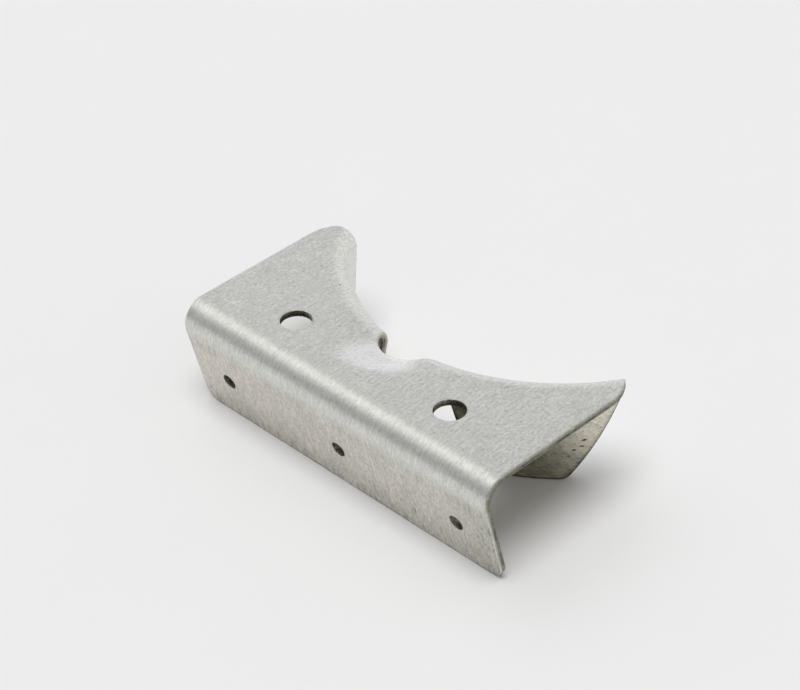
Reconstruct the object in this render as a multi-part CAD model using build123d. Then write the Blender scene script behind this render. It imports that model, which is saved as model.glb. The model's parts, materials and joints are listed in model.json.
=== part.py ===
"""Formed sheet metal bracket with a curved seat.

One sheet is blanked, pierced and formed.  The flat web lies on top.  A straight
flange folds down along the front edge and leans under the web.  Along the back
the web is cut to a circular arc and two tapered flanges fold down round that
arc, so that they bear on a round tube.  A flared relief parts the two curved
flanges in the middle.

Millimetres and degrees.  +X runs along the bracket, +Y towards the seat, +Z up.
The origin is the middle of the bounding box on the plane the bracket stands on.
"""
from build123d import *
import os
from math import asin, cos, degrees, radians, sin, sqrt

# ---------------------------------------------------------------- sheet
sheet_thickness = 1.02
bend_inside_radius = 2.7

# ---------------------------------------------------------------- overall
bracket_length = 61.5
bracket_height = 18.7
waist_depth = 17.35          # front face to the seat face at the middle

# ---------------------------------------------------------------- front flange
front_lean = 12.6            # from upright, the lower edge towards the seat
flange_corner_radius = 2.6
pilot_diameter = 2.5
pilot_spacing = 23.5
pilot_count = 3
pilot_height = 7.4           # hole centre on the outer face, above the base

# ---------------------------------------------------------------- web
web_hole_diameter = 4.76
web_hole_spacing = 31.3
web_hole_setback = 8.85      # front face to the line of the two holes

# ---------------------------------------------------------------- curved seat
seat_radius = 31.75
ear_width = 4.75             # seat face to the ear's corner, before it is rounded
ear_corner_radius = 7.0
seat_end_inset = 7.8         # how far a flange's outer end draws in on its way down
seat_end_radius = 58.0       # of the full curve that end follows
seat_inner_taper = 17.5      # slope of the end beside the relief
seat_corner_radius = 2.2

# ---------------------------------------------------------------- relief
relief_setback = 12.1        # front face to the root of the relief
relief_root_radius = 4.76
relief_flare = 24.5          # slope of each relief wall in plan

# ---------------------------------------------------------------- worked out
bend_outside_radius = bend_inside_radius + sheet_thickness
web_underside = bracket_height - sheet_thickness
bend_height = bracket_height - bend_outside_radius
bend_line_radius = seat_radius + bend_outside_radius
seat_half_angle = degrees(asin(bracket_length / 2 / (seat_radius + ear_width)))
overall_depth = waist_depth + seat_radius * (1 - cos(radians(seat_half_angle)))
front_face = -overall_depth / 2
front_bend_line = front_face + bend_outside_radius
seat_axis_y = front_face + waist_depth + seat_radius
hole_line = front_face + web_hole_setback
clear = 2 * bracket_height   # how far a cutting tool reaches past the sheet


def seat_point(radius, angle, height=0.0):
    """A point at a radius from the seat axis, at an angle from the middle."""
    along = radius * sin(radians(angle))
    back = seat_axis_y - radius * cos(radians(angle))
    return Vector(along, back, height)


def folded_section(fold_angle, drop_end):
    """Section of the front bend and flange: x is depth, y is height.

    drop_end is the height at which the outer face stops.
    """
    turn = radians(fold_angle)
    centre = Vector(front_bend_line, bend_height)
    out_of_bend = Vector(-sin(turn), cos(turn))
    down_flange = Vector(-cos(turn), -sin(turn))
    outer_start = centre + out_of_bend * bend_outside_radius
    inner_start = centre + out_of_bend * bend_inside_radius
    run = down_flange * ((outer_start.Y - drop_end) / sin(turn))
    outer_top = (front_bend_line, bracket_height)
    inner_top = (front_bend_line, web_underside)
    outline = [
        CenterArc(centre, bend_outside_radius, 90, fold_angle),
        Line(outer_start, outer_start + run),
        Line(outer_start + run, inner_start + run),
        Line(inner_start + run, inner_start),
        CenterArc(centre, bend_inside_radius, 90 + fold_angle, -fold_angle),
        Line(inner_top, outer_top),
    ]
    return make_face(outline)


def front_flange():
    """The straight fold along the front, with rounded lower corners."""
    section = Plane.YZ * folded_section(90 + front_lean, 0.0)
    flange = extrude(section, amount=bracket_length / 2, both=True)
    lower_corners = [
        edge
        for edge in flange.edges()
        if abs(edge.length - sheet_thickness) < 0.01
        and edge.center().Z < bend_height / 2
    ]
    return fillet(lower_corners, flange_corner_radius)


def web_plate():
    """The flat web, from the front bend line to the arc of the back bend line."""
    back = seat_point(bend_line_radius, seat_half_angle).Y
    depth = back - front_bend_line
    middle = (back + front_bend_line) / 2
    outline = Pos(0, middle) * Rectangle(bracket_length, depth)
    outline -= Pos(0, seat_axis_y) * Circle(bend_line_radius)
    return extrude(Pos(0, 0, web_underside) * outline, amount=sheet_thickness)


def seat_sweep(section, first_angle, last_angle):
    """Turn a section about the seat axis; its x is radius and its y is height."""
    start = seat_point(1.0, first_angle) - Vector(0, seat_axis_y, 0)
    plane = Plane(origin=(0, seat_axis_y, 0), x_dir=start, z_dir=start.cross(Vector(0, 0, 1)))
    axis = Axis((0, seat_axis_y, 0), (0, 0, 1))
    return revolve(plane * section, axis=axis, revolution_arc=last_angle - first_angle)


def seat_bend():
    """The quarter-round bend that follows the arc at the back of the web."""
    centre = (bend_line_radius, bend_height)
    section = make_face(
        [
            CenterArc(centre, bend_outside_radius, 90, 90),
            Line((seat_radius, bend_height), (seat_radius + sheet_thickness, bend_height)),
            CenterArc(centre, bend_inside_radius, 180, -90),
            Line((bend_line_radius, web_underside), (bend_line_radius, bracket_height)),
        ]
    )
    return seat_sweep(section, -seat_half_angle, seat_half_angle)


def blank_outline():
    """Plan of the blank's ends: square sides that turn a round corner onto the ears."""
    half = bracket_length / 2
    corner = seat_point(seat_radius + ear_width, seat_half_angle)
    tip = seat_point(seat_radius - sheet_thickness, seat_half_angle)
    outline = Polyline(
        (-half, front_face),
        (half, front_face),
        (half, corner.Y),
        (tip.X, tip.Y),
        (-tip.X, tip.Y),
        (-half, corner.Y),
        close=True,
    )
    plan = make_face(outline)
    corners = [v for v in plan.vertices() if abs(v.Y - corner.Y) < 0.001]
    return fillet(corners, ear_corner_radius)


def relief_wall():
    """Where a relief wall leaves the root arc, and the way it runs, in plan."""
    flare = radians(relief_flare)
    root_centre = front_face + relief_setback + relief_root_radius
    start = Vector(relief_root_radius * cos(flare), root_centre - relief_root_radius * sin(flare))
    return start, Vector(sin(flare), cos(flare))


def relief_tool():
    """The flared, round-rooted relief between the two seat flanges, in plan."""
    start, way = relief_wall()
    mouth = start + way * bracket_height
    root = (0, front_face + relief_setback)
    outline = [
        ThreePointArc((-start.X, start.Y), root, (start.X, start.Y)),
        Line((start.X, start.Y), (mouth.X, mouth.Y)),
        Line((mouth.X, mouth.Y), (-mouth.X, mouth.Y)),
        Line((-mouth.X, mouth.Y), (-start.X, start.Y)),
    ]
    return extrude(make_face(outline), amount=clear)


def relief_angle():
    """Angle from the middle at which a relief wall meets the seat face."""
    start, way = relief_wall()
    from_axis = start - Vector(0, seat_axis_y)
    half_b = from_axis.dot(way)
    reach = -half_b - sqrt(half_b**2 - from_axis.dot(from_axis) + seat_radius**2)
    meeting = start + way * reach
    return degrees(asin(meeting.X / seat_radius))


def relief_end(angle):
    """Plane that trims the end beside the relief, sloping from the bend line down."""
    taper = radians(seat_inner_taper)
    along = Vector(cos(radians(angle)), sin(radians(angle)), 0)
    normal = along * cos(taper) + Vector(0, 0, 1) * sin(taper)
    return Plane(origin=seat_point(seat_radius, angle, bend_height), z_dir=normal)


def outer_end_tool():
    """Cutter for the full, inward-curving outer end: x is outward, y is up."""
    across = Vector(cos(radians(seat_half_angle)), sin(radians(seat_half_angle)), 0)
    plane = Plane(
        origin=seat_point(seat_radius, seat_half_angle),
        x_dir=across,
        z_dir=across.cross(Vector(0, 0, 1)),
    )
    outline = [
        RadiusArc((0, bend_height), (-seat_end_inset, 0), seat_end_radius),
        Line((-seat_end_inset, 0), (clear, 0)),
        Line((clear, 0), (clear, bend_height)),
        Line((clear, bend_height), (0, bend_height)),
    ]
    return extrude(plane * make_face(outline), amount=4 * sheet_thickness, both=True)


def seat_flange():
    """The curved flange on the +X side, narrowing towards its rounded lower edge."""
    inner_angle = relief_angle()
    wall = Pos(seat_radius + sheet_thickness / 2, bend_height / 2)
    wall *= Rectangle(sheet_thickness, bend_height)
    flange = seat_sweep(wall, inner_angle, seat_half_angle)
    flange -= outer_end_tool()
    flange = split(flange, bisect_by=relief_end(inner_angle), keep=Keep.TOP)
    lower_corners = [
        edge
        for edge in flange.edges()
        if edge.length < 2 * sheet_thickness and edge.center().Z < 0.01
    ]
    return fillet(lower_corners, seat_corner_radius)


def web_holes():
    """The two round holes through the web."""
    drill = Cylinder(web_hole_diameter / 2, clear)
    return [Pos(side * web_hole_spacing / 2, hole_line, 0) * drill for side in (-1, 1)]


def pilot_holes():
    """The row of small holes square to the leaning front flange."""
    below_bend = bend_height - bend_outside_radius * sin(radians(front_lean)) - pilot_height
    lean = radians(front_lean)
    outer_face = front_bend_line - bend_outside_radius * cos(lean) + below_bend * sin(lean) / cos(lean)
    drill = Cylinder(pilot_diameter / 2, 4 * sheet_thickness)
    tools = []
    for index in range(pilot_count):
        along = (index - (pilot_count - 1) / 2) * pilot_spacing
        place = Plane(origin=(along, outer_face, pilot_height), z_dir=(0, -cos(lean), -sin(lean)))
        tools.append(place * drill)
    return tools


def bracket():
    """The finished sheet: formed, trimmed and pierced."""
    formed = web_plate() + seat_bend()
    formed &= extrude(blank_outline(), amount=clear)
    formed -= relief_tool()
    right_flange = seat_flange()
    formed += [right_flange, mirror(right_flange, about=Plane.YZ), front_flange()]
    for tool in web_holes() + pilot_holes():
        formed -= tool
    return formed


if __name__ == "__main__":
    os.makedirs("parts", exist_ok=True)
    sheet = bracket()
    solid = sheet.solids()[0]
    solid.label = "bracket_sheet"
    export_step(solid, "parts/bracket_sheet.step")
    box = solid.bounding_box()
    print("solids", len(sheet.solids()), "valid", solid.is_valid, "volume", round(solid.volume, 1))
    print("box", box.min, box.max)
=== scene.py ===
"""Formed sheet bracket: the rolled, pressed and handled metal over the fixed CAD frame."""
import json
import math

import bmesh
import bpy
from bpy.props import FloatProperty, FloatVectorProperty, PointerProperty
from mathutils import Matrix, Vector, noise
from mathutils.geometry import delaunay_2d_cdt
from mathutils.kdtree import KDTree


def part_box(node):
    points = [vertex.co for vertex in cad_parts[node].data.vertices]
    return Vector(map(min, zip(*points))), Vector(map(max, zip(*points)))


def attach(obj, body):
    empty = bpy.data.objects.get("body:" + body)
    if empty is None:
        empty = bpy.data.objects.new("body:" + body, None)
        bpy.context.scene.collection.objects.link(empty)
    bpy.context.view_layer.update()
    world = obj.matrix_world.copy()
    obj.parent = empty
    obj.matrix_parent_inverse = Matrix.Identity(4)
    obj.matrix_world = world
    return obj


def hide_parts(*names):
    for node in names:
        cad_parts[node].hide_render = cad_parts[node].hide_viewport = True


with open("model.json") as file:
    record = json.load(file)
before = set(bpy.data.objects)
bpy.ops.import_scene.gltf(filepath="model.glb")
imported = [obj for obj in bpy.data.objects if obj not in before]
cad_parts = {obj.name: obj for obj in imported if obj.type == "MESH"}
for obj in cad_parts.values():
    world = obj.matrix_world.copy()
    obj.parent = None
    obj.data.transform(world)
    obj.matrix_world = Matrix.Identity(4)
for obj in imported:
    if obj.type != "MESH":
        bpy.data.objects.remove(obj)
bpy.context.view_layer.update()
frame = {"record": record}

bl_info = {
    "name": "Formed Sheet Bracket",
    "version": (1, 0, 0),
    "blender": (4, 5, 0),
    "location": "View3D > Sidebar > Bracket",
    "description": "Presses a flat aluminium blank into a bracket with a curved seat",
    "category": "Add Mesh",
}

SHEET_LOW, SHEET_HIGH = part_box("bracket_sheet")
MOUNTS = {mount["name"]: mount for mount in frame["record"]["mounts"]}
WEB_HOLES = MOUNTS["web_holes"]
MM = 1000                # millimetres in a metre; the materials are laid out in millimetres


# ---------------------------------------------------------------- settings

def length(name, description, default):
    """A size in metres."""
    return FloatProperty(
        name=name, description=description, default=default, min=0.0, precision=5,
        subtype="DISTANCE", unit="LENGTH",
    )


def angle(name, description, degrees):
    """An angle, stated in degrees and kept in radians."""
    return FloatProperty(
        name=name, description=description, default=math.radians(degrees),
        subtype="ANGLE", unit="ROTATION",
    )


def share(name, description, default):
    """A number from none to full."""
    return FloatProperty(
        name=name, description=description, default=default, min=0.0, max=1.0, subtype="FACTOR",
    )


def colour(name, description, default):
    """A linear colour."""
    return FloatVectorProperty(
        name=name, description=description, default=default, size=3, min=0.0, max=1.0,
        subtype="COLOR",
    )


class BracketSizes(bpy.types.PropertyGroup):
    """Sizes of the blank and of its folds."""

    thickness: length("Thickness", "Thickness of the sheet", 0.00102)
    bend_radius: length("Bend radius", "Inside radius of every fold", 0.0027)
    front_lean: angle("Front lean", "How far the front flange leans in from upright", 12.6)
    front_corner: length("Front corner", "Radius of the front flange's lower corners", 0.0026)
    waist: length("Waist", "Front face to the middle of the seat", 0.01735)
    pilot_radius: length("Pilot radius", "Radius of the small holes in the front flange", 0.00125)
    pilot_spacing: length("Pilot spacing", "Distance from one pilot hole to the next", 0.0235)
    pilot_height: length("Pilot height", "Height of the pilot holes above the base", 0.0074)
    seat_radius: length("Seat radius", "Radius of the tube that the seat bears on", 0.03175)
    ear_width: length("Ear width", "Seat face to the ear's corner before it is rounded", 0.00475)
    ear_corner: length("Ear corner", "Radius of the ears' corners", 0.007)
    seat_inset: length("Seat inset", "How far a seat flange's outer end draws in", 0.0078)
    seat_end_radius: length("Seat end radius", "Radius of that end's full curve", 0.058)
    seat_taper: angle("Seat taper", "Slope of a seat flange's end beside the relief", 17.5)
    seat_corner: length("Seat corner", "Radius of the seat flanges' lower corners", 0.0022)
    relief_setback: length("Relief setback", "Front face to the root of the relief", 0.0121)
    relief_root: length("Relief root", "Radius of the relief's root", 0.00476)
    relief_flare: angle("Relief flare", "Slope of the relief's walls in plan", 24.5)
    edge_break: length("Edge break", "Rounding left on the sheared edges", 0.00013)
    hole_break: length("Hole break", "Rounding left on the edges of the holes", 0.00004)
    facet: length("Facet", "Spacing of the mesh over the blank", 0.0006)
    relief_draw: length("Relief draw", "How far forming draws the web down by the relief", 0.00018)
    left_set_back: length("Left set-back", "How far the left seat flange stands off the tube", 0.0003)
    waviness: length("Waviness", "Depth of the broad waves that pressing leaves", 0.00002)


class BracketFinish(bpy.types.PropertyGroup):
    """Colour and surface of the rolled sheet."""

    metal: colour("Metal", "Colour of the clean rolled face", (0.715, 0.720, 0.680))
    handled: colour("Handled metal", "Colour of the front flange", (0.610, 0.590, 0.525))
    blush: colour("Blush", "Warm tinge in patches of the front flange", (0.655, 0.595, 0.545))
    # Partly a painted highlight: near-white colour for the burnished place by the relief.
    polished_highlight: colour("Burnished metal and painted highlight", "Colour of the rubbed place by the relief", (0.985, 0.99, 1.0))
    inner: colour("Inner face", "Colour of the face inside the folds", (0.75, 0.72, 0.635))
    stain: colour("Stain", "Colour of the stains inside the folds", (0.62, 0.55, 0.465))
    # Painted shade: colour of the inner face toward the middle of its length, far inside the channel.
    deep_shade: colour("Painted inner shade", "Colour of the inner face at the middle", (0.60, 0.585, 0.455))
    edge: colour("Sheared edge", "Colour of the cut edges", (0.31, 0.305, 0.24))
    root: colour("Relief edge", "Colour of the cut edge round the relief", (0.62, 0.575, 0.46))
    grime: colour("Grime", "Colour of the dirt left in the holes", (0.13, 0.125, 0.10))
    roughness: share("Roughness", "Roughness of the rolled face", 0.36)
    grain: share("Grain", "Strength of the rolling grain", 1.0)
    # Strength of the burnished place by the relief: smoother, and lighter in colour as a painted
    # highlight.
    burnish_and_highlight: share("Burnish and highlight", "Brightness of the rubbed place by the relief", 1.0)


class StudioSettings(bpy.types.PropertyGroup):
    """The pale floor, the lamps and the camera."""

    floor: colour("Floor", "Colour of the floor", (0.85, 0.85, 0.85))
    air: share("Air", "Share of the light that comes from all round", 0.5)
    backdrop: colour("Backdrop", "Colour seen behind the floor", (0.85, 0.85, 0.85))
    softbox: FloatProperty(
        name="Softbox", description="Strength of the broad lamp overhead", default=1.92, min=0.0,
    )
    window: FloatProperty(
        name="Window", description="Strength of the weaker lamp from behind and the left",
        default=0.20, min=0.0,
    )
    softness: angle("Softness", "How wide each lamp looks from the floor", 34.7)
    lens: FloatProperty(
        name="Lens", description="Focal length of the camera in millimetres", default=108.4,
        min=1.0, unit="CAMERA",
    )


# ---------------------------------------------------------------- the folds

class Fold:
    """The press: carries a point of the flat blank to its place on the formed sheet."""

    def __init__(self, sizes):
        self.sizes = sizes
        self.height = SHEET_HIGH.z
        self.front_face = SHEET_LOW.y
        self.half_length = SHEET_HIGH.x
        self.outer_radius = sizes.bend_radius + sizes.thickness
        self.bend_height = self.height - self.outer_radius
        self.front_line = self.front_face + self.outer_radius
        self.front_turn = math.pi / 2 + sizes.front_lean
        self.flange_top = self.height - self.outer_radius * (1 + math.sin(sizes.front_lean))
        self.seat_axis = Vector((0.0, self.front_face + sizes.waist + sizes.seat_radius))
        self.seat_line = sizes.seat_radius + self.outer_radius
        self.seat_turn_run = self.outer_radius * math.pi / 2
        self.ear_angle = math.asin(self.half_length / (sizes.seat_radius + sizes.ear_width))

    def wrap(self, run, turn):
        """Travel round a bend and on down the flange: how far out, how low, and the tilt."""
        bent = min(run, turn * self.outer_radius)
        tilt = bent / self.outer_radius
        straight = run - bent
        out = self.outer_radius * math.sin(tilt) + straight * math.cos(tilt)
        drop = self.outer_radius * (1 - math.cos(tilt)) + straight * math.sin(tilt)
        return out, drop, tilt

    def place(self, point):
        """Position and outward normal on the outer face, for a point of the flat blank."""
        arm = Vector((point[0], point[1])) - self.seat_axis
        if point[1] < self.front_line:
            out, drop, tilt = self.wrap(self.front_line - point[1], self.front_turn)
            way = Vector((0.0, -1.0, 0.0))
            start = Vector((point[0], self.front_line, self.height))
        elif arm.length < self.seat_line:
            out, drop, tilt = self.wrap(self.seat_line - arm.length, math.pi / 2)
            arm.normalize()
            way = Vector((-arm.x, -arm.y, 0.0))
            start = (self.seat_axis + arm * self.seat_line).to_3d()
            start.z = self.height
        else:
            return Vector((point[0], point[1], self.height)), Vector((0.0, 0.0, 1.0))
        position = start + way * out - Vector((0.0, 0.0, drop))
        return position, way * math.sin(tilt) + Vector((0.0, 0.0, math.cos(tilt)))

    def seat_flat(self, turn, run):
        """Blank point at an angle round the seat and a run past its bend line."""
        reach = self.seat_line - run
        return self.seat_axis + Vector((math.sin(turn), -math.cos(turn))) * reach

    def unfold_plan(self, point):
        """Blank point under a point of the plan, which may lie over the seat's bend."""
        arm = Vector(point) - self.seat_axis
        over = self.seat_line - arm.length
        if over <= 0.0:
            return Vector(point)
        run = math.asin(min(over / self.outer_radius, 1.0)) * self.outer_radius
        return self.seat_flat(math.atan2(arm.x, -arm.y), run)

    def unfold_seat(self, along, height):
        """Blank point of a seat flange, at a length round the seat and a height."""
        return self.seat_flat(
            along / self.sizes.seat_radius, self.seat_turn_run + self.bend_height - height
        )


def arc(centre, radius, start, end, step):
    """Points along an arc between two angles, ends included."""
    count = max(2, math.ceil(abs(end - start) * radius / step))
    turns = [start + (end - start) * i / count for i in range(count + 1)]
    return [Vector((centre[0] + radius * math.cos(a), centre[1] + radius * math.sin(a))) for a in turns]


def divided(points, step):
    """The polyline through the points, with no span longer than a step."""
    result = [Vector(points[0])]
    for start, end in zip(points, points[1:]):
        start, end = Vector(start), Vector(end)
        count = max(1, math.ceil((end - start).length / step))
        result += [start.lerp(end, i / count) for i in range(1, count + 1)]
    return result


def rounded(points, radius, step):
    """The arc that rounds the corner between (before, corner, after), ends included."""
    before, corner, after = (Vector(p) for p in points)
    back, on = (before - corner).normalized(), (after - corner).normalized()
    half = math.acos(max(-1.0, min(1.0, back.dot(on)))) / 2
    centre = corner + (back + on).normalized() * (radius / math.sin(half))
    first = corner + back * (radius / math.tan(half)) - centre
    last = corner + on * (radius / math.tan(half)) - centre
    start = math.atan2(first.y, first.x)
    sweep = math.atan2(first.cross(last), first.dot(last))
    return arc(centre, radius, start, start + sweep, step)


def clipped(points, corner, reach):
    """The points that lie further than reach from the corner."""
    return [p for p in points if (p - Vector(corner)).length > reach]


# ---------------------------------------------------------------- the flat blank

# Spacing of the mesh over the blank, each a share of a facet.
EDGE_STEP = 0.6          # along the edges
BEND_GAP = 0.4           # between the web's last points and the seat's bend line
EDGE_GAP = 0.45          # between the edges and the points beside them

FRONT_BEND_ROWS = 18
SEAT_BEND_ROWS = 16
RELIEF_CROWDING = 1.6    # points along a relief wall, for each that the bend's run would take
MERGE_BELOW = 1e-5       # points nearer to each other than this become one, in millimetres


class Blank:
    """Outline, holes and mesh of the flat blank, in metres."""

    def __init__(self, fold):
        self.fold = fold
        self.sizes = fold.sizes
        self.step = EDGE_STEP * self.sizes.facet
        self.front_run = fold.front_turn * fold.outer_radius
        self.flange_line = fold.front_line - self.front_run
        self.front_edge = self.front_flat(0.0)
        self.root_centre = Vector(
            (0.0, fold.front_face + self.sizes.relief_setback + self.sizes.relief_root)
        )
        self.holes = self.hole_circles()
        hole_step = self.step / 2
        self.outlines = [self.outline()]
        for centre, radius in self.holes:
            self.outlines.append(arc(centre, radius, 0.0, 2 * math.pi, hole_step)[:-1])

    def front_flat(self, height):
        """The blank's y under a height on the front flange's outer face."""
        below_bend = self.fold.flange_top - height
        return self.flange_line - below_bend / math.cos(self.sizes.front_lean)

    def front_side(self):
        """Right half of the front edge, the web's side, the ear, and its end across the bend."""
        fold, sizes = self.fold, self.sizes
        half, corner = fold.half_length, sizes.front_corner
        toward_ear = Vector((math.sin(fold.ear_angle), -math.cos(fold.ear_angle)))
        ear = fold.seat_axis + toward_ear * (sizes.seat_radius + sizes.ear_width)
        tip = fold.seat_axis + toward_ear * sizes.seat_radius
        ear_arc = rounded(((half, fold.front_line), ear, tip), sizes.ear_corner, self.step)
        points = [Vector((0.0, self.front_edge))]
        points += arc(
            (half - corner, self.front_edge + corner), corner, -math.pi / 2, 0.0, self.step
        )
        points = divided(points + [ear_arc[0]], self.step)
        points += [fold.unfold_plan(p) for p in ear_arc[1:]]
        past_bend = fold.seat_flat(fold.ear_angle, fold.seat_turn_run)
        return points + divided([points[-1], past_bend], self.step)[1:]

    def relief_wall(self):
        """Start of the right wall of the relief in plan, its way, and its run to the seat face."""
        flare = self.sizes.relief_flare
        start = self.root_centre + Vector((math.cos(flare), -math.sin(flare))) * self.sizes.relief_root
        way = Vector((math.sin(flare), math.cos(flare)))
        arm = start - self.fold.seat_axis
        along = arm.dot(way)
        run = -along - math.sqrt(along**2 - arm.length_squared + self.sizes.seat_radius**2)
        return start, way, run

    def seat_edge(self):
        """Edge of the right seat flange from the ear's tip round to the relief, opened flat."""
        fold, sizes = self.fold, self.sizes
        start, way, run = self.relief_wall()
        meeting = start + way * run - fold.seat_axis
        top = fold.bend_height
        outer = sizes.seat_radius * fold.ear_angle
        inner = sizes.seat_radius * math.atan2(meeting.x, -meeting.y)
        ends = Vector((outer, top)), Vector((outer - sizes.seat_inset, 0.0))
        chord = ends[1] - ends[0]
        inward = Vector((chord.y, -chord.x)).normalized()
        rise = math.sqrt(sizes.seat_end_radius**2 - chord.length_squared / 4)
        centre = (ends[0] + ends[1]) / 2 + inward * rise
        turns = [math.atan2(e.y - centre.y, e.x - centre.x) for e in ends]
        full_curve = arc(centre, sizes.seat_end_radius, turns[0], turns[1], self.step)
        above_corner = full_curve[-4]
        foot = Vector((inner + top * math.tan(sizes.seat_taper), 0.0))
        outer_corner = rounded((above_corner, ends[1], foot), sizes.seat_corner, self.step)
        inner_corner = rounded((ends[1], foot, (inner, top)), sizes.seat_corner, self.step)
        reach = (outer_corner[0] - ends[1]).length
        points = clipped(full_curve, ends[1], reach + self.step / 3)
        points += divided(outer_corner + inner_corner, self.step)
        points = divided(points + [Vector((inner, top))], self.step)
        return [fold.unfold_seat(p.x, p.y) for p in points[1:]]

    def relief_edge(self):
        """Edge of the relief from the right seat flange to the middle of the root."""
        start, way, run = self.relief_wall()
        count = math.ceil(RELIEF_CROWDING * self.fold.seat_turn_run / self.step)
        wall = [start + way * run * (1 - (i / count) ** 2) for i in range(1, count + 1)]
        flare = self.sizes.relief_flare
        root = arc(self.root_centre, self.sizes.relief_root, -flare, -math.pi / 2, self.step)
        return [self.fold.unfold_plan(p) for p in wall + root[1:]]

    def outline(self):
        """The whole edge of the blank, counter-clockwise."""
        right = self.front_side() + self.seat_edge() + self.relief_edge()
        right[0].x = right[-1].x = 0.0
        left = [Vector((-p.x, p.y)) for p in reversed(right[1:-1])]
        return right + left

    def hole_circles(self):
        """Centre and radius of the two web holes and the three pilot holes."""
        sizes = self.sizes
        web_radius = WEB_HOLES["dims"]["hole_r_mm"] / MM
        web_reach = WEB_HOLES["dims"]["spacing_x_mm"] / (2 * MM)
        web_y = WEB_HOLES["pos_m"][1]
        pilot_y = self.front_flat(sizes.pilot_height)
        web = [(Vector((side * web_reach, web_y)), web_radius) for side in (-1, 1)]
        pilots = [(Vector((i * sizes.pilot_spacing, pilot_y)), sizes.pilot_radius) for i in (-1, 0, 1)]
        return web + pilots

    def in_hole(self, points):
        """Whether the middle of some points lies in one of the holes."""
        middle = sum(points, Vector((0.0, 0.0))) / len(points)
        return any((middle - centre).length < radius for centre, radius in self.holes)

    def inner_points(self, tree):
        """Mesh points over the blank, in rows that follow the bend lines."""
        points = self.web_points() + self.seat_points()
        return [p for p in points if tree.find(p.to_3d())[2] > EDGE_GAP * self.sizes.facet]

    def web_points(self):
        """Rows of points from the front edge back, as far as the seat's bend line."""
        fold, facet = self.fold, self.sizes.facet
        columns = math.ceil(2 * fold.half_length / facet)
        across = [fold.half_length * (2 * i / columns - 1) for i in range(columns + 1)]
        flange_width = self.flange_line - self.front_edge
        flange_rows = math.ceil(flange_width / facet)
        rows = [self.front_edge + flange_width * i / flange_rows for i in range(flange_rows)]
        rows += [
            fold.front_line - self.front_run * (1 - i / FRONT_BEND_ROWS)
            for i in range(FRONT_BEND_ROWS)
        ]
        web_rows = math.ceil((SHEET_HIGH.y - fold.front_line) / facet)
        rows += [fold.front_line + facet * i for i in range(web_rows)]
        least = fold.seat_line + BEND_GAP * facet
        grid = [Vector((x, y)) for y in rows for x in across]
        return [p for p in grid if (p - fold.seat_axis).length > least]

    def seat_points(self):
        """Rows of points that follow the seat, from its bend line down."""
        fold, facet = self.fold, self.sizes.facet
        runs = [fold.seat_turn_run * i / SEAT_BEND_ROWS for i in range(SEAT_BEND_ROWS)]
        straight = math.ceil(fold.bend_height / facet)
        runs += [fold.seat_turn_run + fold.bend_height * i / straight for i in range(straight)]
        spokes = math.ceil(2 * fold.ear_angle * self.sizes.seat_radius / facet)
        turns = [fold.ear_angle * (2 * i / spokes - 1) for i in range(spokes + 1)]
        return [fold.seat_flat(turn, run) for run in runs for turn in turns]

    def triangulated(self):
        """Points and triangles of the blank.

        With them, for each point, its distance from the nearest edge and 1.0 if that is a hole's.
        """
        edge_points = [p for line in self.outlines for p in line]
        tree = KDTree(len(edge_points))
        for index, point in enumerate(edge_points):
            tree.insert(point.to_3d(), index)
        tree.balance()
        edges, first = [], 0
        for line in self.outlines:
            count = len(line)
            edges += [(first + i, first + (i + 1) % count) for i in range(count)]
            first += count
        points = [p * MM for p in edge_points + self.inner_points(tree)]
        only_inside = 1
        flat, _, faces, *_ = delaunay_2d_cdt(points, edges, [], only_inside, MERGE_BELOW)
        flat = [p / MM for p in flat]
        faces = [face for face in faces if not self.in_hole([flat[i] for i in face])]
        first_of_holes = len(self.outlines[0])
        nearest = []
        for point in flat:
            _, index, distance = tree.find(point.to_3d())
            nearest.append((distance, float(index >= first_of_holes)))
        return flat, faces, nearest


# ---------------------------------------------------------------- the formed sheet

# Material slots of the faces.
OUTER, INNER, EDGE = 0, 1, 2

# What pressing leaves, in metres of the blank, and in radians round the seat from the middle.
DRAW_REACH = 0.0043      # how far from the relief's root the draw falls off
DRAW_END = 0.006         # where the draw ends on the right
DRAW_FADE = 0.005        # the width over which it fades out there
SET_BACK_START = 0.50    # where the left seat flange starts to stand off
SET_BACK_FADE = 0.28     # how much further round it stands off fully
SET_BACK_RUN = 0.004     # how far past the bend line it stands off fully
WAVES = 90               # waves in a metre of the sheet
WAVE_SLICE = 3.1         # which slice of the noise they follow
WAVE_TOP = 0.7           # near the noise's highest value: the waves stay inside the true face

# Single marks on the blank: x, y, turn in degrees, length, width (mm) and strength.
DARK_MARKS = (
    (-24.45, 6.2, 0, 0.20, 0.20, 0.6), (-22.95, 4.81, 0, 0.24, 0.24, 0.7),
    (-17.61, 3.48, 20, 0.32, 0.26, 0.8), (-18.9, 3.3, 15, 1.1, 0.14, 0.35),
    (17.98, 2.06, 62, 1.3, 0.14, 0.5), (11.2, 0.6, 35, 0.8, 0.12, 0.4),
    (24.6, -2.4, 80, 1.0, 0.12, 0.4), (6.3, -9.6, 70, 0.8, 0.12, 0.4),
    (-28.7, -16.8, 84, 0.9, 0.14, 0.45), (-20.35, -18.79, 70, 1.2, 0.13, 0.5),
    (27.2, -21.0, 88, 2.2, 0.15, 0.45), (28.6, -25.5, 92, 1.9, 0.18, 0.5),
    (14.6, -29.6, 86, 1.4, 0.18, 0.5), (-8.4, -30.1, 95, 1.2, 0.18, 0.5),
)
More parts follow.
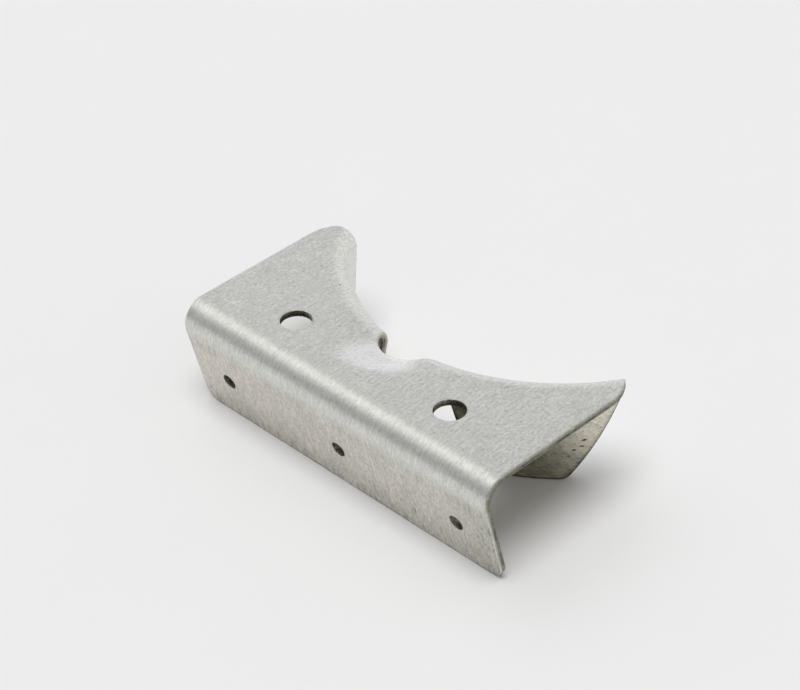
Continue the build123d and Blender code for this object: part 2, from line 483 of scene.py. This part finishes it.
LIGHT_MARKS = (
    (-26.6, -10.6, 8, 1.7, 0.12, 1.0), (-25.2, -9.3, 52, 1.6, 0.12, 0.8),
    (-22.0, -4.5, 48, 1.1, 0.13, 0.8), (23.24, -15.49, 10, 0.42, 0.30, 1.0),
    (9.8, 1.9, 60, 2.0, 0.10, 0.5), (20.4, -6.3, 25, 1.4, 0.10, 0.5),
    (-1.8, -8.7, 34, 1.0, 0.20, 0.7), (0.4, -7.7, 30, 1.1, 0.24, 0.75),
    (0.8, -6.3, 42, 1.2, 0.20, 0.6), (-3.7, -8.3, 40, 1.2, 0.18, 0.45),
)
INNER_PITS = (
    (16.21, 18.35, 20, 0.34, 0.24, 1.0), (14.30, 18.90, 0, 0.24, 0.22, 0.9),
    (15.29, 18.95, 60, 0.30, 0.20, 0.9), (15.1, 18.2, 0, 0.16, 0.16, 0.7),
    (18.9, 18.3, 0, 0.18, 0.18, 0.6), (17.3, 17.2, 0, 0.16, 0.16, 0.6),
)


def eased(value):
    """Smooth step from 0 to 1."""
    value = max(0.0, min(1.0, value))
    return value * value * (3 - 2 * value)


def pressed_out_of_true(blank, point):
    """How far forming leaves a point of the blank off the true surface, along its normal."""
    sizes = blank.sizes
    away = (point - blank.root_centre).length - sizes.relief_root
    near_root = math.exp(-((away / DRAW_REACH) ** 2))
    draw = -sizes.relief_draw * near_root * eased((DRAW_END - point.x) / DRAW_FADE)
    arm = point - blank.fold.seat_axis
    left = eased((math.atan2(-arm.x, -arm.y) - SET_BACK_START) / SET_BACK_FADE)
    run = blank.fold.seat_line - arm.length
    draw -= sizes.left_set_back * left * eased(run / SET_BACK_RUN)
    wave = noise.noise(Vector((point.x * WAVES, point.y * WAVES, WAVE_SLICE)))
    return draw + sizes.waviness * (wave - WAVE_TOP)


def formed_sheet(blank):
    """Bmesh of the folded sheet: two skins, the rim between them and its broken edges."""
    sizes, fold = blank.sizes, blank.fold
    flat, faces, nearest = blank.triangulated()
    mesh = bmesh.new()
    on_blank = mesh.verts.layers.float_vector.new("blank")
    to_rim = mesh.verts.layers.float.new("rim")
    in_bore = mesh.verts.layers.float.new("bore")
    skins = [], []
    for point, (distance, bore) in zip(flat, nearest):
        position, normal = fold.place(point)
        position += normal * pressed_out_of_true(blank, point)
        for skin, depth in zip(skins, (0.0, sizes.thickness)):
            vert = mesh.verts.new(position - normal * depth)
            vert[on_blank] = (point.x * MM, point.y * MM, depth * MM)
            vert[to_rim] = distance * MM
            vert[in_bore] = bore
            skin.append(vert)
    outer, inner = skins
    sides = {}           # every directed side of a triangle, in the order in which it is met
    for face in faces:
        mesh.faces.new([outer[i] for i in face]).material_index = OUTER
        mesh.faces.new([inner[i] for i in reversed(face)]).material_index = INNER
        for start, end in zip(face, (*face[1:], face[0])):
            sides[start, end] = True
    rim = []
    for start, end in sides:
        if (end, start) not in sides:
            side = mesh.faces.new((outer[end], outer[start], inner[start], inner[end]))
            side.material_index = EDGE
            rim.append(side)
    mesh.normal_update()
    corners = [
        edge for side in rim for edge in side.edges
        if any(face.material_index != EDGE for face in edge.link_faces)
    ]
    round_holes = [edge for edge in corners if edge.verts[0][in_bore] > 0.5]
    outside = [edge for edge in corners if edge.verts[0][in_bore] < 0.5]
    for edges, width in ((round_holes, sizes.hole_break), (outside, sizes.edge_break)):
        bmesh.ops.bevel(
            mesh, geom=edges, offset=width, offset_type="OFFSET", segments=3,
            profile=0.5, affect="EDGES", clamp_overlap=True, material=EDGE,
        )
    for vert in [v for v in mesh.verts if not v.link_faces]:
        mesh.verts.remove(vert)
    mesh.normal_update()
    return mesh


# ---------------------------------------------------------------- shader expressions

LINE_SOFTNESS = 0.035    # how gently a scratch starts out of its noise


class Term:
    """An output socket of a node, on which Python's arithmetic adds Math nodes."""

    def __init__(self, graph, socket):
        self.graph = graph
        self.socket = socket

    def math(self, operation, *values):
        """A Math node on some values."""
        return self.graph.add("Math", {"operation": operation}, dict(enumerate(values)))

    def __add__(self, other):
        return self.math("ADD", self, other)

    def __sub__(self, other):
        return self.math("SUBTRACT", self, other)

    def __rsub__(self, other):
        return self.math("SUBTRACT", other, self)

    def __mul__(self, other):
        return self.math("MULTIPLY", self, other)

    __radd__ = __add__
    __rmul__ = __mul__


class Graph:
    """Node tree of one material or of the world."""

    def __init__(self, tree):
        self.tree = tree
        tree.nodes.clear()

    def add(self, kind, settings=None, inputs=None, output=0):
        """Add one node: its settings first, then its sockets' values or links."""
        node = self.tree.nodes.new("ShaderNode" + kind)
        for name, value in (settings or {}).items():
            if name == "stops":
                self.set_stops(node.color_ramp, value)
            else:
                setattr(node, name, value)
        for name, value in (inputs or {}).items():
            if isinstance(value, Term):
                self.tree.links.new(value.socket, node.inputs[name])
            else:
                node.inputs[name].default_value = value
        return Term(self, node.outputs[output]) if node.outputs else node

    @staticmethod
    def set_stops(ramp, stops):
        """Give a colour ramp its stops, each (position, grey)."""
        ramp.interpolation = "EASE"
        while len(ramp.elements) < len(stops):
            ramp.elements.new(1.0)
        for element, (position, grey) in zip(ramp.elements, stops):
            element.position = position
            element.color = (grey, grey, grey, 1.0)

    def vector(self, operation, *values, output=0):
        """A Vector Math node on some vectors."""
        return self.add("VectorMath", {"operation": operation}, dict(enumerate(values)), output)

    def dot(self, first, second):
        """How far one vector reaches along another."""
        return self.vector("DOT_PRODUCT", first, second, output="Value")

    def size(self, vector):
        """Length of a vector."""
        return self.vector("LENGTH", vector, output="Value")

    def axis(self, vector, name):
        """A vector's X, Y or Z."""
        return self.add("SeparateXYZ", {}, {0: vector}, output=name)

    def joined(self, *values):
        """Vector made of up to three numbers."""
        return self.add("CombineXYZ", {}, dict(enumerate(values)))

    def attribute(self, name, output="Fac"):
        """What formed_sheet wrote on the mesh: blank (mm), rim (mm) or bore."""
        return self.add("Attribute", {"attribute_name": name}, output=output)

    def turned(self, place, turn, long, wide):
        """A place's distance along and across a turned line, in shares of a length and width."""
        along = self.dot(place, (math.cos(turn) / long, math.sin(turn) / long, 0.0))
        across = self.dot(place, (-math.sin(turn) / wide, math.cos(turn) / wide, 0.0))
        return along, across

    def blend(self, factor, first, second):
        """Colour mixed from first to second."""
        settings = {"data_type": "RGBA", "clamp_factor": True}
        colours = [v if isinstance(v, Term) else (*v, 1.0) for v in (first, second)]
        return self.add("Mix", settings, {0: factor, 6: colours[0], 7: colours[1]}, output=2)

    def shade(self, colour, value):
        """Colour times a grey value."""
        colour = colour if isinstance(colour, Term) else tuple(colour)
        return self.add("VectorMath", {"operation": "SCALE"}, {0: colour, "Scale": value})

    def fade(self, value, low, high):
        """Smooth step from 0 to 1, as a value goes from low to high."""
        settings = {"interpolation_type": "SMOOTHSTEP"}
        return self.add("MapRange", settings, {"Value": value, "From Min": low, "From Max": high})

    def noise(self, place, stretch, detail, roughness=0.55, offset=(0.0, 0.0, 0.0)):
        """Noise over a place; stretch is how many cycles one unit of the place has, by axis."""
        moved = self.vector("MULTIPLY_ADD", place, stretch, offset)
        inputs = {"Vector": moved, "Scale": 1.0, "Detail": detail, "Roughness": roughness}
        return self.add("TexNoise", {}, inputs)

    def scratches(self, place, turn, spacing, reach, rarity, offset):
        """Sparse thin lines at an angle: 1 on a line, 0 off it."""
        lines = self.joined(*self.turned(place, turn, reach, spacing), offset)
        field = self.noise(lines, (1.0, 1.0, 1.0), detail=0.0)
        return self.fade(field, rarity, rarity + LINE_SOFTNESS)

    def specks(self, place, per_mm, size, rarity):
        """Small round marks of uneven strength, in a few cells of a Voronoi pattern."""
        inputs = {"Vector": place, "Scale": per_mm}
        near = self.add("TexVoronoi", {}, inputs, output="Distance")
        cell = self.add("TexVoronoi", {}, inputs, output="Color")
        chosen = self.fade(self.add("SeparateColor", {}, {0: cell}), 1 - rarity, 1.02 - rarity)
        strength = self.add("SeparateColor", {}, {0: cell}, output=1)
        return (1.0 - self.fade(near, 0.3 * size * per_mm, size * per_mm)) * chosen * strength


def marked(graph, place, marks):
    """Single handling marks: each is (x, y, turn in degrees, length, width, strength), in mm."""
    total = 0.0
    for x, y, turn, long, wide, strength in marks:
        moved = graph.vector("SUBTRACT", place, (x, y, 0.0))
        reach = graph.size(graph.joined(*graph.turned(moved, math.radians(turn), long, wide)))
        total = graph.fade(reach, 1.0, 0.45) * strength + total
    return total


def new_material(name):
    """Empty material and its graph."""
    material = bpy.data.materials.new(name)
    material.use_nodes = True
    return material, Graph(material.node_tree)


def finish_metal(graph, tint, rough, height, depth):
    """Metal shader with its colour, roughness and bump, joined to the output."""
    normal = graph.add("Bump", {}, {"Strength": 1.0, "Distance": depth, "Height": height})
    metal = graph.add("BsdfPrincipled", {}, {
        "Base Color": tint, "Metallic": 1.0, "Roughness": rough, "Normal": normal,
    })
    graph.add("OutputMaterial", {}, {"Surface": metal})


# The place in front of the relief that forming burnished, lightened too as a painted highlight, in
# millimetres of the blank.
RUB_MIDDLE = (-0.7, -5.3, 0.0)
RUB_ALONG = (0.921, 0.391, 0.0)
RUB_ACROSS = (-0.391, 0.921, 0.0)
RUB_HALF_LENGTH = 7.2
RUB_HALF_WIDTH = 4.0
STROKES_ACROSS = (-0.731, 0.683, 0.0)

# Depth of each face's bump, in metres.
ROLLED_DEPTH = 0.0000045
INNER_DEPTH = 0.000006
TORN_DEPTH = 0.000012


def rubbed_and_highlit_by_relief(graph, place, mottle):
    """How far the forming tool has burnished the web in front of the relief; the same mask lightens the
    colour there as a painted highlight.
    """
    from_middle = graph.vector("SUBTRACT", place, RUB_MIDDLE)
    along = graph.dot(from_middle, RUB_ALONG)
    across = graph.dot(from_middle, RUB_ACROSS)
    streaks = graph.joined(along, graph.dot(from_middle, STROKES_ACROSS))
    strokes = graph.noise(streaks, (0.38, 2.2, 0.0), 4.0, 0.66, (3.0, 1.0, 0.0)) - 0.5
    reach = graph.size(graph.joined(along * (1 / RUB_HALF_LENGTH), across * (1 / RUB_HALF_WIDTH)))
    body = graph.fade(reach + strokes * 0.95 + mottle * 0.2, 1.06, 0.50)
    return body * (0.70 + graph.fade(strokes, -0.02, 0.12) * 0.5)


def handling_marks(graph, place, plan):
    """Bright scratches, then dark dents, over the outer face."""
    lines = (
        graph.scratches(place, 0.5, 0.10, 5.0, 0.78, 1.7)
        + graph.scratches(place, 2.2, 0.09, 3.5, 0.79, 6.1)
        + graph.scratches(place, 1.4, 0.11, 7.0, 0.80, 3.3)
    )
    lines = lines + marked(graph, plan, LIGHT_MARKS) * 2.4
    dents = graph.specks(place, 0.55, 0.09, 0.10) + marked(graph, plan, DARK_MARKS) * 1.3
    return lines, dents


def flange_dirt(graph, place, flange, low, right_end):
    """Smudges, then grit: thickest at the front flange's lower edge and right end."""
    smudge = graph.noise(place, (1.3, 0.42, 0.0), 5.0, 0.68, (2.0, 5.0, 7.0))
    smudge = graph.fade(smudge, 0.50, 0.70) * flange * (0.40 + low * 0.75 + right_end * 0.70)
    grit = graph.specks(place, 1.7, 0.11, 0.22) * flange * (low + right_end * 0.5)
    return smudge, grit


def rolled_face(finish, fold, blank):
    """The outer face: fine rolling grain, drawn bend, burnished relief with a painted highlight,
    handling marks, and painted shade at the front flange's lower edge.
    """
    material, graph = new_material("Rolled face")
    place = graph.attribute("blank", output="Vector")
    rim = graph.attribute("rim")
    x, y = graph.axis(place, "X"), graph.axis(place, "Y")
    plan = graph.vector("MULTIPLY", place, (1.0, 1.0, 0.0))
    line = fold.front_line * MM
    edge = blank.front_edge * MM

    # Where: the drawn bend, the flange, its lower edge and right end, and the rim, darkened by wear
    # and, at the flange's lower edge, by painted contact shadow.
    drawn = graph.fade(y, line + 0.6, line - 1.2) * graph.fade(y, line - 9.5, line - 6.0)
    flange = graph.fade(y, line - 5.0, line - 8.5)
    # Lower edge of the front flange: darkened there as painted shade, where the flange meets the floor.
    low = graph.fade(y, edge + 6.0, edge + 0.5)
    right_end = graph.fade(x, 21.0, 29.0)
    # Rim mask: a little darker by every rim for wear, much darker along the flange's lower edge as
    # painted contact shadow.
    rim_wear_and_shade = 1.0 - graph.fade(rim, 0.05, 0.6)

    # What: grain at three scales, clouds, burnishing with its painted highlight, marks and dirt.
    coarse = graph.noise(place, (2.6, 0.32, 0.0), 4.0, 0.62) - 0.5
    fine = graph.noise(place, (6.5, 1.1, 0.0), 3.0, 0.6, (3.0, 8.0, 0.0)) - 0.5
    mottle = graph.noise(place, (2.5, 1.7, 0.0), 4.0, 0.7, (5.0, 1.0, 4.0)) - 0.5
    cloud = graph.noise(place, (0.22, 0.16, 0.0), 3.0, 0.55, (9.0, 2.0, 0.0)) - 0.5
    # Burnished place by the relief: smoother, and lighter in colour as a painted highlight.
    rub_and_highlight = rubbed_and_highlit_by_relief(graph, plan, mottle) * finish.burnish_and_highlight
    lines, dents = handling_marks(graph, place, plan)
    smudge, grit = flange_dirt(graph, place, flange, low, right_end)
    grain = (
        coarse * (0.55 + flange * 0.30)
        + fine * (0.50 + flange * 0.35)
        + mottle * (0.95 - drawn * 0.35)
    ) * (1.0 - rub_and_highlight * 0.6)

    value = 1.0 + grain * 1.1 * finish.grain + cloud * (0.14 + flange * 0.16) + lines * 0.14
    # Painted shade: the rim mask darkens the flange's lower edge as a contact shadow, and the flange
    # grows darker toward its lower edge.
    value = value - dents * 0.45 - rim_wear_and_shade * (0.08 + low * 0.32) - smudge * 0.34 - grit * 0.6
    # The burnished place is lightened as a painted highlight.
    value = value + rub_and_highlight * 0.07 - low * 0.05 - right_end * flange * 0.11
    blush = graph.fade(cloud + graph.fade(x, 4.0, -26.0) * 0.12, 0.0, 0.16) * flange
    tint = graph.blend(flange, finish.metal, finish.handled)
    tint = graph.blend(blush * 0.38, tint, finish.blush)
    # Painted highlight: the burnished place turns near white.
    tint = graph.blend(rub_and_highlight, tint, finish.polished_highlight)
    rough = finish.roughness + mottle * 0.14 + coarse * 0.10 + drawn * 0.05
    rough = rough - rub_and_highlight * 0.21 - lines * 0.10
    height = coarse * 0.6 + fine * 0.35 + mottle * 0.35
    height = height - lines * 0.5 - dents * 1.6 - grit + rub_and_highlight * 0.9
    finish_metal(graph, graph.shade(tint, value), rough, height, ROLLED_DEPTH)
    return material


def inner_face(finish):
    """The face inside the folds: duller, warmer, stained and lightly pitted, with painted shade toward
    the middle and by the rims.
    """
    material, graph = new_material("Inner face")
    place = graph.attribute("blank", output="Vector")
    rim = graph.attribute("rim")
    plan = graph.vector("MULTIPLY", place, (1.0, 1.0, 0.0))
    from_middle = graph.axis(graph.vector("ABSOLUTE", place), "X")
    # Painted shade: darker toward the middle of the length, far inside the channel.
    deep_shade = graph.fade(from_middle, 19.5, 10.0)
    # Darker by every rim: wear, and painted shade where the folds come down to the floor.
    rim_wear_and_shade = 1.0 - graph.fade(rim, 0.02, 0.55)

    coarse = graph.noise(place, (2.6, 0.32, 0.0), 4.0, 0.62, (4.0, 4.0, 0.0))
    stain = graph.noise(place, (0.55, 0.4, 0.0), 5.0, 0.62, (1.0, 7.0, 2.0))
    mottle = graph.noise(place, (2.4, 2.0, 0.0), 3.0, 0.65, (5.0, 1.0, 4.0))
    crackle = graph.noise(place, (2.6, 2.6, 0.0), 3.0, 0.7, (3.0, 3.0, 3.0))
    lines = graph.scratches(place, 0.9, 0.10, 4.0, 0.78, 2.9)
    pits = graph.specks(place, 0.9, 0.15, 0.22) + graph.specks(place, 2.1, 0.08, 0.24)
    pits = pits + marked(graph, plan, INNER_PITS)

    value = 1.0 + (coarse - 0.5) * 0.5 + (stain - 0.5) * 1.3 + (mottle - 0.5) * 0.8 + lines * 0.08
    # Darker by the rims, from wear and painted shade, and toward the middle as painted shade.
    value = value - rim_wear_and_shade * 0.42 - deep_shade * 0.42
    value = value - pits * 0.75 - graph.fade(crackle, 0.55, 0.68) * 0.30
    tint = graph.blend(graph.fade(stain, 0.42, 0.66), finish.inner, finish.stain)
    tint = graph.blend(deep_shade * 0.6, tint, finish.deep_shade)
    rough = finish.roughness + 0.05 + (mottle - 0.5) * 0.2 + pits * 0.2
    height = coarse * 0.6 + mottle * 0.4 - pits * 1.5
    finish_metal(graph, graph.shade(tint, value), rough, height, INNER_DEPTH)
    return material


def sheared_edge(finish, fold, blank):
    """The cut edge: a smooth sheared band by the outer face, then a dull torn one."""
    material, graph = new_material("Sheared edge")
    place = graph.attribute("blank", output="Vector")
    plan = graph.vector("MULTIPLY", place, (1.0, 1.0, 0.0))
    y, depth = graph.axis(place, "Y"), graph.axis(place, "Z")
    line = fold.front_line * MM
    flange = graph.fade(y, line - 4.0, line - 8.0)
    root = (blank.root_centre.x * MM, blank.root_centre.y * MM, 0.0)
    by_relief = graph.fade(graph.size(graph.vector("SUBTRACT", plan, root)), 11.0, 6.0)

    chatter = graph.noise(place, (1.9, 1.9, 0.5), 4.0, 0.7)
    torn_grain = graph.noise(place, (6.0, 6.0, 5.0), 4.0, 0.7, (2.0, 6.0, 1.0))
    patchy = graph.noise(place, (0.35, 0.35, 0.0), 3.0, 0.6, (8.0, 3.0, 0.0))
    torn = graph.fade(depth + (chatter - 0.5) * 0.5, 0.35, 0.55)
    streak = graph.fade(depth + (chatter - 0.5) * 0.4, 0.40, 0.50) * graph.fade(depth, 0.84, 0.68)
    rolled_over = graph.fade(depth + (chatter - 0.5) * 0.3, 0.48, 0.22) * flange * 0.35
    dirt = graph.fade(torn_grain, 0.62, 0.40) * graph.attribute("bore")

    value = 0.86 + flange * 0.14 + (chatter - 0.5) * 1.3
    value = value + (torn_grain - 0.5) * (0.4 + torn * 1.3) - torn * 0.10
    value = value - streak * graph.fade(patchy, 0.36, 0.62) * 0.45
    value = value - graph.fade(depth, 0.84, 0.98) * 0.4
    tint = graph.blend(graph.fade(depth, 0.17, 0.06) * 0.50 + rolled_over, finish.edge, finish.metal)
    tint = graph.blend(dirt, tint, finish.grime)
    tint = graph.blend(by_relief * 0.85, tint, finish.root)
    rough = 0.40 + torn * 0.15 + (torn_grain - 0.5) * 0.1
    height = chatter * 0.4 + torn_grain * torn
    finish_metal(graph, graph.shade(tint, value), rough, height, TORN_DEPTH)
    return material


def dress(piece, materials):
    """Give a piece its materials, in the order of its faces' slots, and the body it rides on."""
    for material in materials:
        piece.data.materials.append(material)
    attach(piece, "root")


# ---------------------------------------------------------------- operators

FLAT_FACE_WEIGHT = 80    # how far the large faces lead the shading; at 50 all count alike

# Ways from the bracket to the two lamps and to the bright spot in the air.
SOFTBOX_WAY = (0.15, -0.23, 0.96)
WINDOW_WAY = (-0.50, 0.20, 0.84)
GLOW_WAY = (-0.587, -0.20, 0.785)

# Brightness of the air on each side, from the horizon (0) to straight overhead (1).
FAR_SIDE = ((0.0, 0.96), (0.47, 0.90), (0.58, 0.65), (1.0, 0.72))
NEAR_SIDE = ((0.0, 0.38), (0.5, 0.40), (0.85, 0.60))

FLOOR_RADIUS = 3.0
FLOOR_SIDES = 96
CAMERA_PLACE = (0.20209, -0.19011, 0.22439)
CAMERA_TURN = (53.3465, 2.2102, 45.3089)     # degrees
SENSOR_WIDTH = 36.0                          # millimetres


class BRACKET_OT_sheet(bpy.types.Operator):
    """Press the flat blank into the bracket and give it its rolled finish"""

    bl_idname = "bracket.sheet"
    bl_label = "Formed sheet"
    bl_options = {"REGISTER", "UNDO"}

    def execute(self, context):
        scene = context.scene
        fold = Fold(scene.bracket_sizes)
        blank = Blank(fold)
        formed = formed_sheet(blank)
        data = bpy.data.meshes.new("formed_sheet")
        formed.to_mesh(data)
        formed.free()
        data.shade_smooth()
        piece = bpy.data.objects.new("formed_sheet", data)
        scene.collection.objects.link(piece)
        even_shading = piece.modifiers.new("Even shading", "WEIGHTED_NORMAL")
        even_shading.weight = FLAT_FACE_WEIGHT
        finish = scene.bracket_finish
        dress(piece, (
            rolled_face(finish, fold, blank),
            inner_face(finish),
            sheared_edge(finish, fold, blank),
        ))
        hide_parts("bracket_sheet")
        return {"FINISHED"}


class BRACKET_OT_studio(bpy.types.Operator):
    """Lay the pale floor and set the soft lamps and the camera"""

    bl_idname = "bracket.studio"
    bl_label = "Studio"
    bl_options = {"REGISTER", "UNDO"}

    def execute(self, context):
        scene = context.scene
        studio = scene.bracket_studio
        self.lay_floor(scene, studio)
        self.fill_air(scene, studio)
        self.hang_lamp(scene, "softbox", SOFTBOX_WAY, studio.softbox, studio.softness)
        self.hang_lamp(scene, "window", WINDOW_WAY, studio.window, studio.softness)
        self.place_camera(scene, studio)
        scene.view_settings.view_transform = "Standard"
        return {"FINISHED"}

    @staticmethod
    def lay_floor(scene, studio):
        """A wide round floor of pale matt paper, on which the bracket stands."""
        material, graph = new_material("Pale floor")
        place = graph.add("TexCoord", {}, output="Object")
        dust = graph.noise(place, (40.0, 40.0, 40.0), 4.0, 0.6)
        paper = graph.shade(tuple(studio.floor), 1.0 + (dust - 0.5) * 0.02)
        surface = graph.add("BsdfPrincipled", {}, {
            "Base Color": paper, "Roughness": 0.7, "Specular IOR Level": 0.2,
        })
        graph.add("OutputMaterial", {}, {"Surface": surface})
        data = bpy.data.meshes.new("floor")
        flat = bmesh.new()
        bmesh.ops.create_circle(flat, cap_ends=True, segments=FLOOR_SIDES, radius=FLOOR_RADIUS)
        flat.to_mesh(data)
        flat.free()
        data.materials.append(material)
        floor = bpy.data.objects.new("floor", data)
        floor.location = (0.0, 0.0, SHEET_LOW.z)
        scene.collection.objects.link(floor)

    @staticmethod
    def fill_air(scene, studio):
        """Light from all round: pale behind, dimmer in front, with a glow high on the left."""
        world = scene.world or bpy.data.worlds.new("Studio air")
        scene.world = world
        world.use_nodes = True
        graph = Graph(world.node_tree)
        way = graph.add("TexCoord", {}, output="Generated")
        depth, up = graph.axis(way, "Y"), graph.axis(way, "Z")
        far = graph.add("ValToRGB", {"stops": FAR_SIDE}, {0: up})
        near = graph.add("ValToRGB", {"stops": NEAR_SIDE}, {0: up})
        glow = graph.fade(graph.dot(way, GLOW_WAY), 0.90, 0.99) * 0.70
        level = graph.blend(graph.fade(depth, 0.10, -0.70), far, near)
        level = graph.vector("ADD", level, graph.joined(glow, glow, glow))
        direct = graph.add("LightPath", {}, output="Is Camera Ray")
        mirrored = graph.add("LightPath", {}, output="Is Glossy Ray")
        level = graph.blend(direct, level, studio.backdrop)
        strength = studio.air + (direct + mirrored) * (1.0 - studio.air)
        background = graph.add("Background", {}, {"Color": level, "Strength": strength})
        graph.add("OutputWorld", {}, {"Surface": background})

    @staticmethod
    def hang_lamp(scene, name, way, energy, width):
        """A broad lamp so far off that the whole floor is lit alike."""
        data = bpy.data.lights.new(name, "SUN")
        data.energy = energy
        data.angle = width
        lamp = bpy.data.objects.new(name, data)
        lamp.rotation_mode = "QUATERNION"
        lamp.rotation_quaternion = Vector(way).to_track_quat("Z", "Y")
        lamp.visible_glossy = False
        scene.collection.objects.link(lamp)

    @staticmethod
    def place_camera(scene, studio):
        """The scene's camera, looking down on the bracket from the front right."""
        data = bpy.data.cameras.new("camera")
        data.lens = studio.lens
        data.sensor_width = SENSOR_WIDTH
        data.clip_start = 0.01
        data.clip_end = 20.0
        camera = bpy.data.objects.new("camera", data)
        camera.location = CAMERA_PLACE
        camera.rotation_euler = [math.radians(turn) for turn in CAMERA_TURN]
        scene.collection.objects.link(camera)
        scene.camera = camera


class BRACKET_PT_panel(bpy.types.Panel):
    """The bracket's pieces, sizes and finish"""

    bl_idname = "BRACKET_PT_panel"
    bl_label = "Formed sheet bracket"
    bl_space_type = "VIEW_3D"
    bl_region_type = "UI"
    bl_category = "Bracket"

    def draw(self, context):
        layout = self.layout
        scene = context.scene
        for settings in (scene.bracket_sizes, scene.bracket_finish, scene.bracket_studio):
            column = layout.column(align=True)
            for name in settings.bl_rna.properties.keys():
                if name not in {"rna_type", "name"}:
                    column.prop(settings, name)
        for operator in OPERATORS:
            layout.operator(operator.bl_idname)


SETTINGS = {
    "bracket_sizes": BracketSizes,
    "bracket_finish": BracketFinish,
    "bracket_studio": StudioSettings,
}
OPERATORS = (BRACKET_OT_sheet, BRACKET_OT_studio)


def register():
    """Add the classes and the scene's settings."""
    for kind in (*SETTINGS.values(), *OPERATORS, BRACKET_PT_panel):
        bpy.utils.register_class(kind)
    for name, kind in SETTINGS.items():
        setattr(bpy.types.Scene, name, PointerProperty(type=kind))


def unregister():
    """Take the settings and the classes away again."""
    for name in SETTINGS:
        delattr(bpy.types.Scene, name)
    for kind in (BRACKET_PT_panel, *reversed(OPERATORS), *SETTINGS.values()):
        bpy.utils.unregister_class(kind)


def main():
    """Make the pieces in order."""
    register()
    bpy.ops.bracket.sheet()
    bpy.ops.bracket.studio()


if __name__ == "__main__":
    main()
